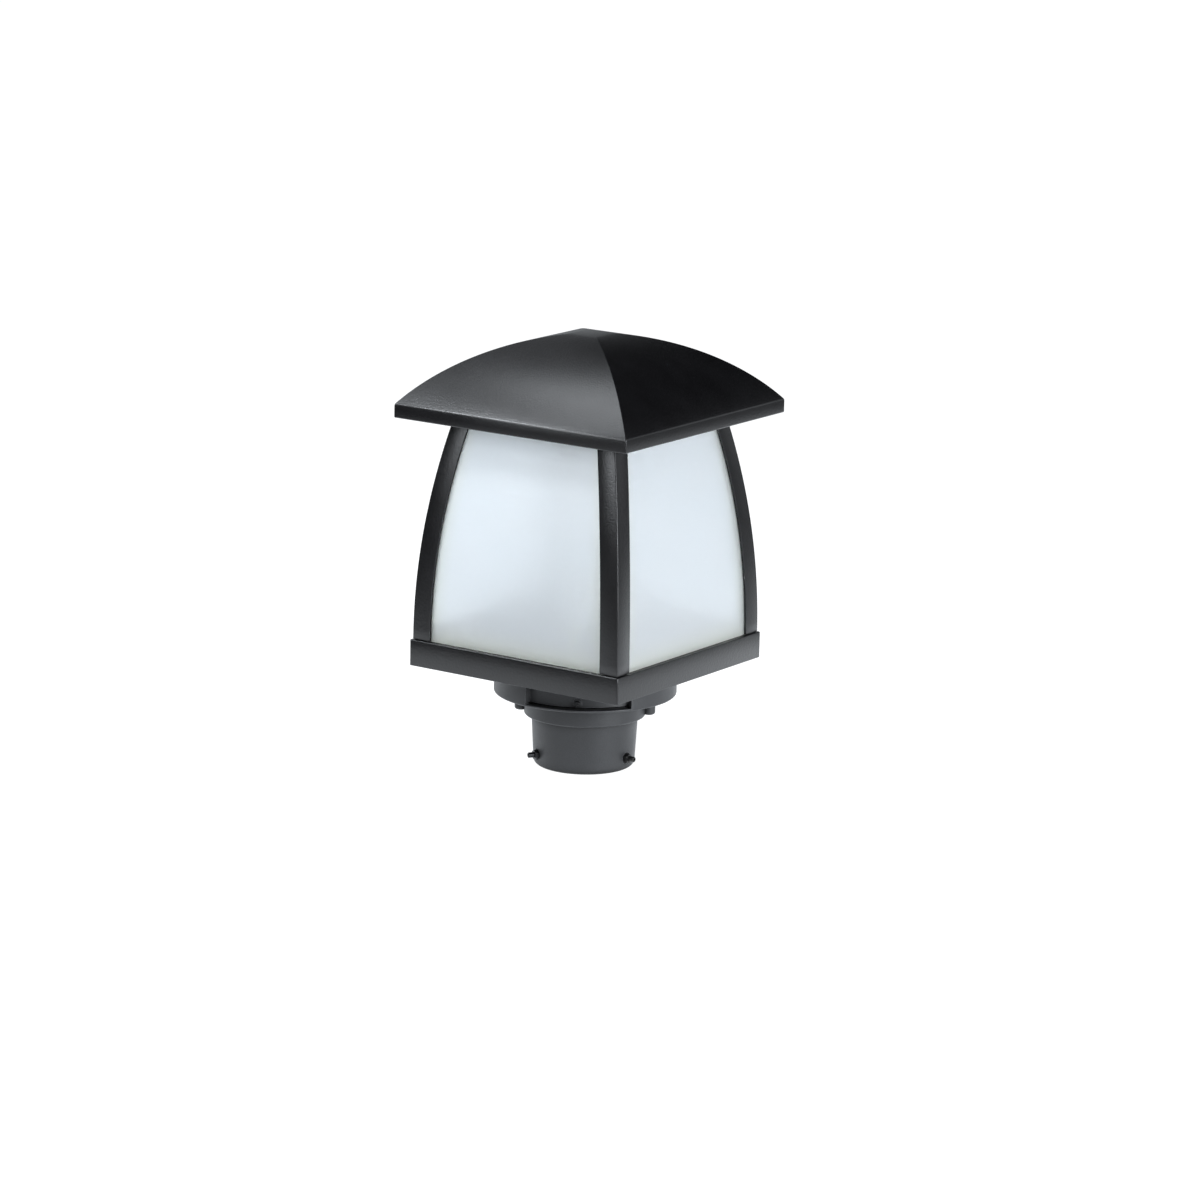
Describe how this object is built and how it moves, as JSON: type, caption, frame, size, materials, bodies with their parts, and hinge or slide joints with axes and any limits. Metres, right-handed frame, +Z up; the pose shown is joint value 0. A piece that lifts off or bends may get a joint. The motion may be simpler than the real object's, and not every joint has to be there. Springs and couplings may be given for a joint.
{
  "type": "post top lantern",
  "caption": "Square post top lantern: cambered roof on curved corner posts with frosted panes, over a round canopy and a clamping post socket.",
  "frame": {"origin": "centre of the collar's foot, the lowest point of the lantern", "axes": "+Z up along the post; -Y is the front, the four faces lie along X and Y"},
  "size_m": [0.25, 0.25, 0.3949],
  "materials": {
    "powder_coat": "matte",
    "frosted_glass": "matte",
    "black_steel": "satin",
    "zinc_steel": "satin",
    "rubber": "matte",
    "ceramic": "gloss",
    "brass": "satin",
    "spring_steel": "satin",
    "terminal_plastic": "matte",
    "lead_brown": "satin",
    "lead_blue": "satin",
    "lead_green_yellow": "satin"
  },
  "bodies": {
    "lantern": {"post_collar": "powder_coat", "collar_gasket": "rubber", "canopy": "powder_coat", "recess_screw": "black_steel", "collar_screws": "zinc_steel", "tray_gasket": "rubber", "base_tray": "powder_coat", "canopy_screws": "zinc_steel", "post_front_left": "powder_coat", "post_front_right": "powder_coat", "post_rear_right": "powder_coat", "post_rear_left": "powder_coat", "post_screws_top": "zinc_steel", "post_screws_bottom": "zinc_steel", "pane_front": "frosted_glass", "pane_right": "frosted_glass", "pane_rear": "frosted_glass", "pane_left": "frosted_glass", "pane_strip_front": "powder_coat", "pane_strip_right": "powder_coat", "pane_strip_rear": "powder_coat", "pane_strip_left": "powder_coat", "strip_screws": "zinc_steel", "top_frame": "powder_coat", "roof_pads": "rubber", "roof_screws": "zinc_steel", "holder_bridge": "zinc_steel", "bridge_screws": "zinc_steel", "lampholder_body": "ceramic", "holder_screws": "zinc_steel", "lampholder_shell": "brass", "contact_spring": "spring_steel", "terminal_bracket": "zinc_steel", "terminal_block": "terminal_plastic", "terminal_screws": "zinc_steel", "block_screws": "zinc_steel", "grommet": "rubber", "earth_tongue": "brass", "earth_screw": "zinc_steel", "live_lead": "lead_brown", "neutral_lead": "lead_blue", "earth_lead": "lead_green_yellow"},
    "roof": {"roof": "powder_coat"},
    "set_screw_1": {"set_screw_1": "black_steel"},
    "lock_nut_1": {"lock_nut_1": "black_steel"},
    "set_screw_2": {"set_screw_2": "black_steel"},
    "lock_nut_2": {"lock_nut_2": "black_steel"},
    "set_screw_3": {"set_screw_3": "black_steel"},
    "lock_nut_3": {"lock_nut_3": "black_steel"},
    "centre_contact": {"centre_contact": "brass"}
  },
  "joints": [
    {"name": "roof_lift", "type": "slide", "parent": "lantern", "child": "roof", "axis": [0, 0, 1], "range_m": [0, 0.12]},
    {"name": "set_screw_1_feed", "type": "slide", "parent": "lantern", "child": "set_screw_1", "axis": [0.5, -0.866, 0], "range_m": [0, 0.006]},
    {"name": "lock_nut_1_turn", "type": "hinge", "parent": "lantern", "child": "lock_nut_1", "pos_m": [-0.02305, 0.03992, 0.0122], "axis": [-0.5, 0.866, 0], "continuous": true},
    {"name": "set_screw_2_feed", "type": "slide", "parent": "lantern", "child": "set_screw_2", "axis": [0.5, 0.866, 0], "range_m": [0, 0.006]},
    {"name": "lock_nut_2_turn", "type": "hinge", "parent": "lantern", "child": "lock_nut_2", "pos_m": [-0.02305, -0.03992, 0.0122], "axis": [-0.5, -0.866, 0], "continuous": true},
    {"name": "set_screw_3_feed", "type": "slide", "parent": "lantern", "child": "set_screw_3", "axis": [-1, 0, 0], "range_m": [0, 0.006]},
    {"name": "lock_nut_3_turn", "type": "hinge", "parent": "lantern", "child": "lock_nut_3", "pos_m": [0.0461, 0, 0.0122], "axis": [1, 0, 0], "continuous": true},
    {"name": "contact_press", "type": "slide", "parent": "lantern", "child": "centre_contact", "axis": [0, 0, -1], "range_m": [0, 0.0015], "stiffness_N_per_m": 2000, "deforming": ["contact_spring"]}
  ]
}
